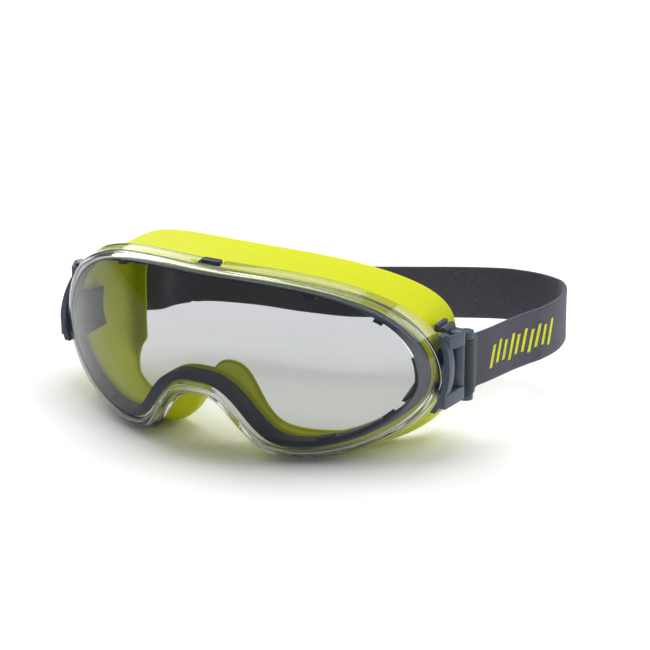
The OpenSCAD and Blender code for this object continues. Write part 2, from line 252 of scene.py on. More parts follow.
@dataclass(frozen=True)
class ClearPlastic:
    """Clear polycarbonate that lets lamps through to what it covers."""

    name: str
    tint: Colour
    lamp_tint: Colour
    ior: float = 1.52

    def build(self) -> bpy.types.Material:
        """The finish as a material."""
        sheet = NodeSheet(self.name)
        sheet.shader.inputs["Base Color"].default_value = (*self.tint, 1.0)
        sheet.set(Transmission_Weight=1.0, IOR=self.ior)
        haze = sheet.math("MULTIPLY", sheet.noise(60.0, 4.0), 0.012)
        sheet.join(haze, sheet.shader.inputs["Roughness"])
        through = sheet.add("ShaderNodeBsdfTransparent")
        through.inputs["Color"].default_value = (*self.lamp_tint, 1.0)
        mix = sheet.add("ShaderNodeMixShader")
        sheet.join(sheet.add("ShaderNodeLightPath").outputs["Is Shadow Ray"], mix.inputs[0])
        sheet.join(sheet.shader.outputs[0], mix.inputs[1])
        sheet.join(through.outputs[0], mix.inputs[2])
        sheet.join(mix.outputs[0], sheet.output.inputs["Surface"])
        return sheet.material


@dataclass(frozen=True)
class Webbing:
    """Close woven elastic: small checks of warp and weft, with denser selvedges."""

    name: str
    colour: Colour
    pick: float = 0.00105
    half_width: float = 0.01225

    def build(self) -> bpy.types.Material:
        """The finish as a material that reads the piece's weave map, in metres."""
        sheet = NodeSheet(self.name)
        uv = sheet.add("ShaderNodeUVMap", uv_map="weave")
        split = sheet.add("ShaderNodeSeparateXYZ")
        sheet.join(uv.outputs[0], split.inputs[0])
        along, across = split.outputs[0], split.outputs[1]
        turn = 2.0 * math.pi / self.pick
        warp = sheet.math("SINE", sheet.math("MULTIPLY", across, turn))
        weft = sheet.math("SINE", sheet.math("MULTIPLY", along, turn))
        check = sheet.math("MULTIPLY", warp, weft)
        rib = sheet.math("MULTIPLY", sheet.math("ABSOLUTE", warp), 0.5)
        height = sheet.math("ADD", check, rib)
        edge = sheet.math("DIVIDE", sheet.math("ABSOLUTE", across), self.half_width)
        edge = sheet.math("POWER", edge, 14.0)
        fleck = sheet.noise(1500.0, 2.0)
        tone = sheet.math("MULTIPLY_ADD", check, 0.12)
        sheet.join(fleck, tone.node.inputs[2])
        tone = sheet.math("ADD", tone, sheet.math("MULTIPLY", edge, 0.12))
        sheet.join(
            sheet.ramp(
                tone,
                [(0.25, scaled(self.colour, 0.72)), (0.55, self.colour), (0.9, scaled(self.colour, 1.45))],
            ),
            sheet.shader.inputs["Base Color"],
        )
        sheet.bump(height, 0.7, 0.00012)
        sheet.set(Roughness=0.85, IOR=1.45, Specular_IOR_Level=0.25, Sheen_Weight=0.25, Sheen_Roughness=0.5)
        return sheet.material


@dataclass(frozen=True)
class BrushedSteel:
    """Bright drawn steel with fine lines round the pin."""

    name: str
    colour: Colour

    def build(self) -> bpy.types.Material:
        """The finish as a material."""
        sheet = NodeSheet(self.name)
        line = sheet.noise(300.0, 3.0, (1.0, 1.0, 14.0))
        sheet.join(
            sheet.ramp(line, [(0.3, scaled(self.colour, 0.85)), (0.7, scaled(self.colour, 1.1))]),
            sheet.shader.inputs["Base Color"],
        )
        rough = sheet.math("MULTIPLY_ADD", line, 0.2)
        rough.node.inputs[2].default_value = 0.22
        sheet.join(rough, sheet.shader.inputs["Roughness"])
        sheet.set(Metallic=1.0)
        return sheet.material


class Finishes:
    """Every finish of the goggles, built once."""

    def __init__(self) -> None:
        """Build the materials."""
        self.clear = ClearPlastic("clear_panel", (0.8, 0.815, 0.83), (0.6, 0.61, 0.62)).build()
        # The panel faces' tint is darker than the rim's: partly the lens's own tint, partly painted shade that
        # stands in for the shadow on the floor seen through the lens.
        self.shade_darkened = ClearPlastic("shade_darkened_panel", (0.5, 0.51, 0.525), (0.6, 0.61, 0.62), 1.22).build()
        self.frame = MouldedPlastic("slate_frame", (0.058, 0.08, 0.115)).build()
        self.clip = MouldedPlastic("slate_clip", (0.068, 0.088, 0.122), 0.38).build()
        self.mount = MouldedPlastic("slate_mount", (0.052, 0.07, 0.1)).build()
        self.plate = MouldedPlastic("inner_plate", (0.075, 0.092, 0.1), 0.5).build()
        self.latch = MouldedPlastic("dark_latch", (0.035, 0.046, 0.065), 0.36).build()
        self.seal = SoftSealFinish("lime_seal", (0.66, 0.7, 0.004)).build()
        self.ink = MouldedPlastic("lime_ink", (0.66, 0.7, 0.004), 0.6).build()
        self.webbing = Webbing("webbing", (0.075, 0.069, 0.098)).build()
        # The sleeve is the webbing's own fabric; its darker, greener colour is painted shade and painted
        # reflection, as the sewn end turns steeply away from the light.
        self.sleeve = Webbing("sewn_sleeve", (0.045, 0.062, 0.07)).build()
        self.thread = MouldedPlastic("thread", (0.09, 0.1, 0.11), 0.7).build()
        self.steel = BrushedSteel("pin_steel", (0.6, 0.61, 0.63)).build()


# ---------------------------------------------------------------- mesh helpers


@dataclass(frozen=True)
class Seat:
    """Where the drawing space stands in the CAD frame, in millimetres."""

    shift: tuple[float, float, float]

    @classmethod
    def from_cad(cls, bar_y: float, bar_z: float) -> "Seat":
        """Read the place from the strap bars.

        Args:
            bar_y: the bars' Y in drawing space.
            bar_z: the bars' lower end in drawing space.

        Returns:
            The seat.
        """
        left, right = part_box("strap_bar_left"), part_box("strap_bar_right")
        x = (left[0].x + left[1].x + right[0].x + right[1].x) / 4 / MM
        y = (left[0].y + left[1].y) / 2 / MM - bar_y
        return cls((x, y, left[0].z / MM - bar_z))

    def place(self, points: np.ndarray) -> np.ndarray:
        """Drawing points in millimetres as CAD frame points in metres."""
        return (np.asarray(points, float) + np.array(self.shift)) * MM


def table(stations: np.ndarray, rows: Table) -> np.ndarray:
    """Values read from a table by station, straight between its rows."""
    return np.interp(stations, [r[0] for r in rows], [r[1] for r in rows])


def new_object(name: str, mesh: bpy.types.Mesh) -> bpy.types.Object:
    """Link a mesh into the scene as an object at the origin."""
    thing = bpy.data.objects.new(name, mesh)
    bpy.context.scene.collection.objects.link(thing)
    return thing


def smooth(mesh: bpy.types.Mesh, sharp_deg: float = 35.0) -> None:
    """Shade a mesh smooth, except over edges sharper than an angle."""
    mesh.shade_smooth()
    mesh.set_sharp_from_angle(angle=math.radians(sharp_deg))


def mesh_piece(
    name: str,
    points: np.ndarray,
    faces: Iterable[Sequence[int]],
    seat: Seat,
    material: bpy.types.Material,
    sharp_deg: float = 35.0,
    fix_normals: bool = True,
) -> bpy.types.Object:
    """Make a piece from drawing points.

    Args:
        name: the piece's name.
        points: drawing points, in millimetres.
        faces: indices of each face.
        seat: the drawing space's place.
        material: its finish.
        sharp_deg: edges over this angle stay sharp.
        fix_normals: whether the faces are turned outwards.

    Returns:
        The new object.
    """
    mesh = bpy.data.meshes.new(name)
    mesh.from_pydata(seat.place(points).tolist(), [], [list(f) for f in faces])
    if fix_normals:
        bm = bmesh.new()
        bm.from_mesh(mesh)
        bmesh.ops.recalc_face_normals(bm, faces=bm.faces)
        bm.to_mesh(mesh)
        bm.free()
    mesh.materials.append(material)
    smooth(mesh, sharp_deg)
    return new_object(name, mesh)


def band_faces(rings: int, count: int, closed: bool) -> list[tuple[int, int, int, int]]:
    """Quads between neighbouring rings of points.

    Args:
        rings: number of rings.
        count: points in each ring.
        closed: whether the last ring joins the first.

    Returns:
        The faces.
    """
    faces = []
    for j in range(rings if closed else rings - 1):
        a, b = j * count, ((j + 1) % rings) * count
        for k in range(count):
            n = (k + 1) % count
            faces.append((a + k, a + n, b + n, b + k))
    return faces


def round_corners(
    section: Sequence[tuple[np.ndarray, np.ndarray]], radii: Sequence[float], steps: int = 4
) -> list[tuple[np.ndarray, np.ndarray]]:
    """Round the corners of a closed section that changes round the outline.

    Args:
        section: inset and depth of each corner, for every outline point.
        radii: the rounding of each corner, in millimetres.
        steps: points in each rounding.

    Returns:
        Inset and depth of each point of the rounded section.
    """
    count = len(section)
    rounded = []
    for i, radius in enumerate(radii):
        here = np.stack(section[i], 1)
        if radius <= 0:
            rounded.append(section[i])
            continue
        ends = []
        for other in (section[i - 1], section[(i + 1) % count]):
            step = np.stack(other, 1) - here
            length = np.linalg.norm(step, axis=1, keepdims=True)
            ends.append(here + step / length * np.minimum(radius, length * 0.45))
        for t in np.linspace(0, 1, steps):
            point = ends[0] * (1 - t) ** 2 + here * 2 * t * (1 - t) + ends[1] * t * t
            rounded.append((point[:, 0], point[:, 1]))
    return rounded


def box_mesh(bm: bmesh.types.BMesh, low: Sequence[float], high: Sequence[float]) -> None:
    """Add a box to a mesh under construction.

    Args:
        bm: the mesh.
        low: its lowest corner.
        high: its highest corner.
    """
    xs, ys, zs = zip(low, high)
    corners = [bm.verts.new((x, y, z)) for x in xs for y in ys for z in zs]
    for quad in ((0, 1, 3, 2), (4, 6, 7, 5), (0, 4, 5, 1), (2, 3, 7, 6), (0, 2, 6, 4), (1, 5, 7, 3)):
        bm.faces.new([corners[i] for i in quad])


def baked(thing: bpy.types.Object, name: str) -> bpy.types.Object:
    """Turn an object and its modifiers into a plain mesh.

    Args:
        thing: the object; it is removed.
        name: the new object's name.

    Returns:
        The new object.
    """
    graph = bpy.context.evaluated_depsgraph_get()
    mesh = bpy.data.meshes.new_from_object(thing.evaluated_get(graph))
    bpy.data.objects.remove(thing)
    mesh.name = name
    return new_object(name, mesh)


def cut(thing: bpy.types.Object, tool: bpy.types.Object) -> bpy.types.Object:
    """Take one solid away from another.

    Args:
        thing: the solid that is cut; it is removed.
        tool: the solid that cuts; it is removed.

    Returns:
        What is left, under the first solid's name.
    """
    name = thing.name
    cutter = thing.modifiers.new("cut", "BOOLEAN")
    cutter.operation, cutter.solver, cutter.object = "DIFFERENCE", "EXACT", tool
    thing.name = name + "_uncut"
    left = baked(thing, name)
    bpy.data.objects.remove(tool)
    smooth(left.data)
    return left


def rounded_copy(node: str, material: bpy.types.Material, edge: float, segments: int = 2) -> bpy.types.Object:
    """A moulded piece that stands for a CAD node, with its edges rounded.

    Args:
        node: the CAD node.
        material: its finish.
        edge: the rounding, in millimetres.
        segments: steps in each rounding.

    Returns:
        The new object.
    """
    bm = bmesh.new()
    bm.from_mesh(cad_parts[node].data)
    bmesh.ops.remove_doubles(bm, verts=bm.verts, dist=1e-6)
    bmesh.ops.dissolve_limit(bm, angle_limit=math.radians(1.0), verts=bm.verts, edges=bm.edges)
    mesh = bpy.data.meshes.new(node + "_moulded")
    bm.to_mesh(mesh)
    bm.free()
    mesh.materials.clear()
    mesh.materials.append(material)
    thing = new_object(node + "_plain", mesh)
    bevel = thing.modifiers.new("edges", "BEVEL")
    bevel.width, bevel.segments, bevel.limit_method = edge * MM, segments, "ANGLE"
    bevel.angle_limit, bevel.use_clamp_overlap = math.radians(28), True
    thing = baked(thing, node + "_moulded")
    smooth(thing.data, 32)
    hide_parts(node)
    return thing


# ---------------------------------------------------------------- the lens outline


class RepeatForm(Enum):
    """The form of a small detail that repeats."""

    STITCH = "stitch"
    TRIANGLE = "triangle"


@dataclass(frozen=True)
class Repeats:
    """Small equal details, set on a row of spots by Geometry Nodes."""

    form: RepeatForm
    size: tuple[float, float, float]
    turn: tuple[float, float, float] = (0.0, 0.0, 0.0)

    def tree(self, material: bpy.types.Material) -> tuple[bpy.types.NodeTree, dict[str, str]]:
        """The node tree and the identifiers of its named inputs.

        Args:
            material: the finish of every detail.

        Returns:
            The tree, and each input's identifier by its name.
        """
        tree = bpy.data.node_groups.new(f"repeat_{self.form.value}", "GeometryNodeTree")
        face = tree.interface
        face.new_socket(name="Spots", in_out="INPUT", socket_type="NodeSocketGeometry")
        named = {
            name: face.new_socket(name=name, in_out="INPUT", socket_type="NodeSocketVector").identifier
            for name in ("Size", "Turn")
        }
        face.new_socket(name="Details", in_out="OUTPUT", socket_type="NodeSocketGeometry")
        start, end = tree.nodes.new("NodeGroupInput"), tree.nodes.new("NodeGroupOutput")
        if self.form is RepeatForm.STITCH:
            form = tree.nodes.new("GeometryNodeMeshUVSphere")
            form.inputs["Segments"].default_value, form.inputs["Rings"].default_value = 10, 6
            form.inputs["Radius"].default_value = 0.5
        else:
            form = tree.nodes.new("GeometryNodeMeshCone")
            form.inputs["Vertices"].default_value = 3
            form.inputs["Radius Top"].default_value, form.inputs["Radius Bottom"].default_value = 0.4, 0.5
            form.inputs["Depth"].default_value = 1.0
        spread = tree.nodes.new("GeometryNodeInstanceOnPoints")
        whole = tree.nodes.new("GeometryNodeRealizeInstances")
        finish = tree.nodes.new("GeometryNodeSetMaterial")
        finish.inputs["Material"].default_value = material
        tree.links.new(start.outputs["Spots"], spread.inputs["Points"])
        tree.links.new(form.outputs["Mesh"], spread.inputs["Instance"])
        tree.links.new(start.outputs["Size"], spread.inputs["Scale"])
        tree.links.new(start.outputs["Turn"], spread.inputs["Rotation"])
        tree.links.new(spread.outputs["Instances"], whole.inputs["Geometry"])
        tree.links.new(whole.outputs["Geometry"], finish.inputs["Geometry"])
        tree.links.new(finish.outputs["Geometry"], end.inputs["Details"])
        return tree, named

    def make(self, name: str, spots: Sequence, seat: Seat, material: bpy.types.Material) -> bpy.types.Object:
        """Set the details on their spots.

        Args:
            name: the piece's name.
            spots: the middle of each detail, in drawing millimetres.
            seat: where the drawing stands in the frame.
            material: the details' finish.

        Returns:
            The piece, as a plain mesh.
        """
        mesh = bpy.data.meshes.new(f"{name}_spots")
        mesh.from_pydata([tuple(p) for p in seat.place(np.array(spots, dtype=float))], [], [])
        thing = new_object(f"{name}_spots", mesh)
        tree, named = self.tree(material)
        modifier = thing.modifiers.new("repeat", "NODES")
        modifier.node_group = tree
        modifier[named["Size"]] = [v * MM for v in self.size]
        modifier[named["Turn"]] = [math.radians(v) for v in self.turn]
        return baked(thing, name)


@dataclass(frozen=True)
class Outline:
    """The goggles' outline from the front, and the curved face that it lies on."""

    width: float = 189.0
    height: float = 84.0
    middle: float = 36.0
    wrap: float = 92.0
    tilt: float = 110.0
    nose_height: float = 28.0
    nose_width: float = 19.6
    dip: float = 4.0
    fullness: float = 2.7
    half_points: int = 132
    rim_depth: float = 10.0
    nose_rim_depth: float = 4.5
    panel: float = 1.8
    gap: float = 0.3
    flare: Table = ((0, 0.4), (0.3, 0.7), (0.45, 2), (0.56, 2), (0.7, 3), (0.86, 3), (1, 2.4))
    lip: Table = ((0, 2), (0.25, 2.3), (0.42, 3.6), (0.5, 4.4), (0.7, 6), (0.86, 6), (0.93, 6.4), (1, 6.4))
    band: Table = (
        (0, 1), (0.25, 1.2), (0.42, 2.7), (0.5, 2.8), (0.7, 3.4), (0.86, 3.4), (0.93, 3.8), (1, 3.8),
    )

    @property
    def half(self) -> float:
        """Half of the width."""
        return self.width / 2

    def top(self, x: np.ndarray) -> np.ndarray:
        """Height of the upper edge at x."""
        t = np.clip(1 - np.minimum(1, np.abs(x / self.half)) ** self.fullness, 0, None)
        return self.middle + (self.height - self.middle) * np.sqrt(t)

    def low(self, x: np.ndarray) -> np.ndarray:
        """Height of the lower edge at x, with the nose arch."""
        t = np.clip(1 - np.minimum(1, np.abs(x / self.half)) ** 3, 0, None) ** 0.55
        arch = (self.nose_height + self.dip) / (1 + (np.abs(x) / self.nose_width) ** 3.3)
        return self.middle - (self.middle + self.dip) * t + arch

    def face(self, x: np.ndarray, z: np.ndarray) -> np.ndarray:
        """Depth of the lens's front face at a point of the outline's plane."""
        return x * x / (2 * self.wrap) + (z - self.middle) ** 2 / (2 * self.tilt)

    def half_steps(self) -> tuple[int, int]:
        """Number of steps above and below the temple, on one side."""
        top = int(self.half_points * 0.42)
        return top, self.half_points - top

    def mirrored(self, half: np.ndarray) -> np.ndarray:
        """A closed outline from its left half."""
        back = half[-2:0:-1] * np.array([-1.0, 1.0])
        return np.concatenate([half, back])

    def closed(self, half_width: float, top: Callable, low: Callable) -> np.ndarray:
        """A closed outline from its upper and lower lines.

        Args:
            half_width: half of its width.
            top: height of the upper line at x.
            low: height of the lower line at x.

        Returns:
            Points from the top centre round the wearer's left side.
        """
        n_top, n_low = self.half_steps()
        x = half_width * np.sin(np.pi / 2 * np.arange(n_top + 1) / n_top)
        upper = np.stack([x, top(x)], 1)
        x = half_width * np.cos(np.pi / 2 * np.arange(1, n_low + 1) / n_low)
        lower = np.stack([x, low(x)], 1)
        return self.mirrored(np.concatenate([upper, lower]))

    def points(self) -> np.ndarray:
        """The rear edge of the lens's rim."""
        return self.closed(self.half, self.top, self.low)

    def stations(self) -> np.ndarray:
        """Station of each point: 0 top centre, 0.5 temple, 1 nose."""
        n_top, n_low = self.half_steps()
        upper = 0.5 * np.arange(n_top + 1) / n_top
        lower = 0.5 + 0.5 * np.arange(1, n_low + 1) / n_low
        half = np.concatenate([upper, lower])
        return np.concatenate([half, half[-2:0:-1]])

    def frame_inset(self, stations: np.ndarray) -> np.ndarray:
        """Inset of the hard frame's outer wall."""
        return table(stations, self.flare) + self.panel + self.gap

    def opening_inset(self, stations: np.ndarray) -> np.ndarray:
        """Inset of the eye opening."""
        return self.frame_inset(stations) + table(stations, self.lip)

    def band_inset(self, stations: np.ndarray) -> np.ndarray:
        """Inset of the outer edge of the frame's front band."""
        return self.opening_inset(stations) - table(stations, self.band)

    def inset(self, points: np.ndarray, distance: object) -> np.ndarray:
        """A closed line moved inwards by a distance at each point."""
        t = np.roll(points, -1, 0) - np.roll(points, 1, 0)
        t = t / np.linalg.norm(t, axis=1, keepdims=True)
        return points + np.stack([t[:, 1], -t[:, 0]], 1) * np.reshape(distance, (-1, 1))

    def ring(self, points: np.ndarray, depth: object) -> np.ndarray:
        """Points of the outline's plane, laid on the face and set back by a depth."""
        return np.stack([points[:, 0], self.face(points[:, 0], points[:, 1]) + depth, points[:, 1]], 1)

    def section_rings(self, section: Sequence[tuple[np.ndarray, np.ndarray]]) -> list[np.ndarray]:
        """Rings of a section given as inset and depth."""
        outline = self.points()
        return [self.ring(self.inset(outline, i), d) for i, d in section]

    def at(self, station: float, side: Hand, inset: float, depth: float) -> np.ndarray:
        """One point, by its station, side, inset and depth.

        Args:
            station: 0 at the top centre, 0.5 at the temple, 1 at the nose.
            side: the wearer's left or right.
            inset: how far inside the outline.
            depth: how far behind the face.

        Returns:
            The point, in drawing millimetres.
        """
        outline, stations = self.inset(self.points(), inset), self.stations()
        n = self.half_points + 1
        x = np.interp(station, stations[:n], outline[:n, 0])
        z = np.interp(station, stations[:n], outline[:n, 1])
        return np.array([side.value * x, self.face(x, z) + depth, z])


# ---------------------------------------------------------------- the pieces


@dataclass
class LensPanel:
    """The clear panel with its turned-back, stepped rim."""

    outline: Outline
    seat: Seat
    centre_height: float = 0.82
    notch: tuple[float, float, float] = (11.0, 5.2, 6.0)
    panel_rings: int = 16
    bead: float = 0.3
    groove: float = 0.5

    def rim_section(self) -> list[tuple[np.ndarray, np.ndarray]]:
        """Inset and depth of the rim, from the panel's front edge round to its back."""
        o, s = self.outline, self.outline.stations()
        flare = table(s, o.flare)
        deep, shallow = o.rim_depth, o.nose_rim_depth
        depth = table(s, ((0, deep), (0.86, deep), (0.95, shallow), (1, shallow)))
        # the rim's outer side: share of its depth, and how far it is set in there
        steps = (
            (0.0, 0.0), (0.1, -0.05), (0.27, -0.05), (0.32, self.groove), (0.5, self.groove),
            (0.56, 0.0), (0.82, 0.0), (0.87, -self.bead), (0.97, -self.bead), (1.0, -0.05),
        )
        section = [(flare + 1.9, flare * 0), (flare + 1.1, flare * 0 + 0.04), (flare + 0.45, flare * 0 + 0.3)]
        for share, extra in steps:
            section.append((flare * (1 - share) + extra, 0.9 + (depth - 0.9) * share))
        inner = flare + o.panel
        section += [
            (inner * 0 + 0.5, depth + 0.12),
            (inner * 0 + o.panel - 0.3, depth + 0.1),
            (inner * 0 + o.panel, depth - 0.3),
            (o.panel + flare * 0.55, o.panel + (depth - o.panel) * 0.5),
            (inner - 0.15, inner * 0 + o.panel + 1.1),
            (inner + 0.25, inner * 0 + o.panel + 0.3),
            (inner + 1.1, inner * 0 + o.panel),
        ]
        return section

    def build(self, finishes: Finishes) -> bpy.types.Object:
        """Make the lens.

        Args:
            finishes: the goggles' finishes.

        Returns:
            The piece.
        """
        o = self.outline
        rings = o.section_rings(self.rim_section())
        middle = np.array([0.0, o.height * self.centre_height])
        shares = np.linspace(0.04, 0.96, self.panel_rings)

        def shrunk(ring: np.ndarray, share: float, depth: float) -> np.ndarray:
            """The ring drawn in towards the middle of the panel."""
            flat = ring[:, [0, 2]]
            return o.ring(middle + (flat - middle) * share, depth)

        front = [shrunk(rings[0], s, 0.0) for s in shares]
        back = [shrunk(rings[-1], s, o.panel) for s in shares[::-1]]
        rings = front + rings + back
        count = len(rings[0])
        centre = o.face(0, middle[1])
        poles = [np.array([[0, centre + depth, middle[1]]]) for depth in (0, o.panel)]
        points = np.concatenate(rings + poles)
        faces = band_faces(len(rings), count, False)
        pole, last = len(rings) * count, (len(rings) - 1) * count
        faces += [(pole, (k + 1) % count, k) for k in range(count)]
        faces += [(pole + 1, last + k, last + (k + 1) % count) for k in range(count)]
        lens = mesh_piece("lens_panel", points, faces, self.seat, finishes.clear, 40)
        lens.data.materials.append(finishes.shade_darkened)
        # the panel's two faces take the darker tint, partly the lens's own and partly painted shade for the
        # floor seen through it, and its rim is plain
        end_front = len(front) * count
        first_back = end_front + len(self.rim_section()) * count
        for face in lens.data.polygons:
            if all(v < end_front or v >= first_back for v in face.vertices):
                face.material_index = 1
        lens = cut(lens, self.notch_tool())
        smooth(lens.data, 40)
        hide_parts("lens")
        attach(lens, "goggles")
        return lens

    def notch_tool(self) -> bpy.types.Object:
        """The block that cuts the latch's notch out of the rim."""
        width, ahead, depth = self.notch
        y = float(self.outline.face(0, self.outline.height)) + ahead
        bm = bmesh.new()
        height = self.outline.height
        corners = [[-width / 2, y, height - depth], [width / 2, y + 30, height + 6]]
        low, high = self.seat.place(corners)
        box_mesh(bm, low, high)
        mesh = bpy.data.meshes.new("notch_tool")
        bm.to_mesh(mesh)
        bm.free()
        return new_object("notch_tool", mesh)


@dataclass
class HardFrame:
    """The slate ring behind the lens, with its lip round the eye opening."""

    outline: Outline
    seat: Seat
    wall: float = 1.4
    lip_depth: float = 8.5
    web_depth: float = 7.7
    triangles: Sequence[float] = (0.957, 0.966, 0.975, 0.984, 0.993)
    triangle_size: tuple[float, float, float] = (1.3, 1.3, 0.3)
    triangle_turn: tuple[float, float, float] = (90.0, 0.0, 0.0)
    tabs: Sequence[tuple[float, float]] = ((0.165, 5.0), (0.29, 5.0), (0.66, 6.0), (0.8, 7.0))

    def build(self, finishes: Finishes) -> list[bpy.types.Object]:
        """Make the ring and its tabs.

        Args:
            finishes: the goggles' finishes.

        Returns:
            The pieces.
        """
        o, s = self.outline, self.outline.stations()
        flat = np.zeros_like(s)
        front, outer, opening, band = o.panel + o.gap, o.frame_inset(s), o.opening_inset(s), o.band_inset(s)
        wall_depth = o.rim_depth + 1
        section = round_corners(
            [
                (band, flat + front), (band, flat + self.web_depth), (outer, flat + self.web_depth),
                (outer, flat + wall_depth), (outer + self.wall, flat + wall_depth),
                (outer + self.wall, flat + self.lip_depth), (opening, flat + self.lip_depth),
                (opening, flat + front),
            ],
            [0.5, 0, 0.2, 0.3, 0.3, 0, 0.2, 0.5],
        )
        rings = o.section_rings(section)
        faces = band_faces(len(rings), len(s), True)
        ring = mesh_piece("frame_ring", np.concatenate(rings), faces, self.seat, finishes.frame)
        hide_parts("frame")
        pieces = [ring, self.tab_piece(finishes)]
        for piece in pieces:
            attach(piece, "goggles")
        pieces.append(self.bead_piece(finishes))
        pieces.append(self.nose_triangles(finishes))
        return pieces

    def bead_piece(self, finishes: Finishes) -> bpy.types.Object:
        """The soft bead that shows between the band and the lens's rim.

        Args:
            finishes: the goggles' finishes.

        Returns:
            The piece.
        """
        o, s = self.outline, self.outline.stations()
        flat, outer, band = np.zeros_like(s), o.frame_inset(s) + 0.2, o.band_inset(s) - 0.15
        back, front = self.web_depth - 0.1, self.web_depth - 1.0
        section = round_corners(
            [(outer, flat + front), (outer, flat + back), (band, flat + back), (band, flat + front)],
            [0.2, 0, 0, 0.2],
        )
        rings = o.section_rings(section)
        faces = band_faces(len(rings), len(s), True)
        bead = mesh_piece("seal_bead_moulded", np.concatenate(rings), faces, self.seat, finishes.seal)
        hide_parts("seal_bead")
        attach(bead, "goggles")
        return bead

    def nose_triangles(self, finishes: Finishes) -> bpy.types.Object:
        """Small raised triangles in a row along the band over the nose.

        Args:
            finishes: the goggles' finishes.

        Returns:
            The piece.
        """
        o = self.outline
        middle = float(o.opening_inset(np.array([1.0]))[0]) - 1.9
        depth = o.panel + o.gap + 0.02
        spots = [o.at(where, side, middle, depth) for side in Hand for where in self.triangles]
        row = Repeats(RepeatForm.TRIANGLE, self.triangle_size, self.triangle_turn)
        piece = row.make("nose_triangles", spots, self.seat, finishes.frame)
        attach(piece, "goggles")
        return piece

    def tab_piece(self, finishes: Finishes) -> bpy.types.Object:
        """The small blocks that stand on the inner edge of the lip.

        Args:
            finishes: the goggles' finishes.

        Returns:
            The piece.
        """
        o = self.outline
        points, faces = [], []
        for side in Hand:
            for station, length in self.tabs:
                base = float(o.opening_inset(np.array([station]))[0])
                step = length / 2 / 260.0
                start = len(points)
                for where in np.linspace(station - step, station + step, 4):
                    outside, inside = base - 1.2, base + 1.0
                    for inset, depth in ((outside, 1.95), (inside, 1.95), (inside, 6.0), (outside, 6.0)):
                        points.append(o.at(where, side, inset, depth))
                faces += [tuple(start + i for i in f) for f in band_faces(4, 4, False)]
                ends = ((0, 1, 2, 3), (12, 15, 14, 13))
                faces += [tuple(start + k for k in end) for end in ends]
        return mesh_piece("frame_tabs", np.array(points), faces, self.seat, finishes.frame)


@dataclass
class FaceSeal:
    """The soft skin between the hard frame and the face."""

    outline: Outline
    seat: Seat
    width: float = 163.0
    height: float = 83.5
    brow: float = 50.0
    face_radius: float = 85.0
    wall: float = 2.4
    lip: float = 10.0
    side_lip: float = 10.0
    low: float = 0.4

    def rear_top(self, x: np.ndarray) -> np.ndarray:
        """Height of the rear edge's upper line at x."""
        t, mid = np.abs(x / (self.width / 2)), self.height * 0.4
        full = np.clip(1 - np.minimum(1, t) ** 3.4, 0, None) ** 0.25
        return mid + (self.height - mid - 12 * t * t) * full

    def rear_low(self, x: np.ndarray) -> np.ndarray:
        """Height of the rear edge's lower line, with its nose arch.

        Args:
            x: distances from the middle.

        Returns:
            The height at each.
        """
        t, mid = np.abs(x / (self.width / 2)), self.height * 0.4
        full = np.clip(1 - np.minimum(1, t) ** 6, 0, None) ** 0.2
        arch = (self.outline.nose_height + 2) / (1 + (np.abs(x) / (self.outline.nose_width * 0.64)) ** 3)
        return mid - (mid - self.low) * full + arch

    def rear(self, points: np.ndarray, back: float) -> np.ndarray:
        """Points of the rear edge's plane, laid on the face and moved back."""
        forward = table(self.outline.stations(), ((0.54, 0), (0.62, 5), (0.7, 11), (0.8, 13), (1, 15)))
        y = self.brow + points[:, 0] ** 2 / (2 * self.face_radius) - forward + back
        return np.stack([points[:, 0], y, points[:, 1]], 1)

    def build(self, finishes: Finishes) -> bpy.types.Object:
        """Make the seal.

        Args:
            finishes: the goggles' finishes.

        Returns:
            The piece.
        """
        o, s = self.outline, self.outline.stations()
        outline = o.points()
        frame_in, opening = o.frame_inset(s), o.opening_inset(s)
        wall_depth, lip_depth, side_gap = o.rim_depth + 1, 8.5, 0.3
        swell = ((0, -0.6), (0.36, -0.2), (0.44, 2.5), (0.58, 2.5), (0.66, 0.4), (0.84, -1.2), (1, 0.5))
        out = frame_in + table(s, swell)
        brow, temple = self.lip, self.side_lip
        widths = ((0, brow), (0.3, brow), (0.42, temple), (0.56, temple), (0.64, 0.4 * brow), (1, 0.35 * brow))
        lip = table(s, widths)
        edge = o.closed(self.width / 2, self.rear_top, self.rear_low)

        def ring(inset: object, depth: float) -> np.ndarray:
            """A ring of the goggles' outline."""
            return o.ring(o.inset(outline, inset), depth)

        def rear(inset: object, back: float) -> np.ndarray:
            """A ring of the edge that meets the face."""
            return self.rear(o.inset(edge, inset), back)

        seat_line = ring(frame_in + 1.6, wall_depth + side_gap)
        shoulder = ring(out, wall_depth + side_gap + 0.9)
        skirt, skirt_in = rear(-1.2, -11), rear(self.wall - 0.4, -11)
        inner = ring(opening + 0.3, wall_depth + 1.5)
        rings = [
            ring(frame_in + 1.6, lip_depth + 0.1), seat_line, shoulder,
            shoulder * 0.75 + skirt * 0.25, shoulder * 0.5 + skirt * 0.5,
            shoulder * 0.22 + skirt * 0.78, skirt,
            rear(-0.9, -4), rear(-0.4, -1.0), rear(0.4, 0.0),
            rear(lip * 0.5, 0.45), rear(lip - 0.4, 0.6), rear(lip, -0.3),
            rear(lip - 0.4, -1.2), rear(lip * 0.5 + 0.6, -1.5), rear(self.wall, -self.wall), skirt_in,
            inner * 0.3 + skirt_in * 0.7, inner * 0.55 + skirt_in * 0.45,
            inner * 0.8 + skirt_in * 0.2, inner, ring(opening, lip_depth + 0.1),
        ]
        seal = mesh_piece(
            "seal_skin", np.concatenate(rings), band_faces(len(rings), len(s), True),
            self.seat, finishes.seal, 60,
        )
        even = seal.modifiers.new("even", "SUBSURF")
        even.levels = even.render_levels = 1
        seal.name = "seal_cage"
        seal = baked(seal, "seal_skin")
        seal.data.shade_smooth()
        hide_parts("face_seal")
        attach(seal, "goggles")
        return seal


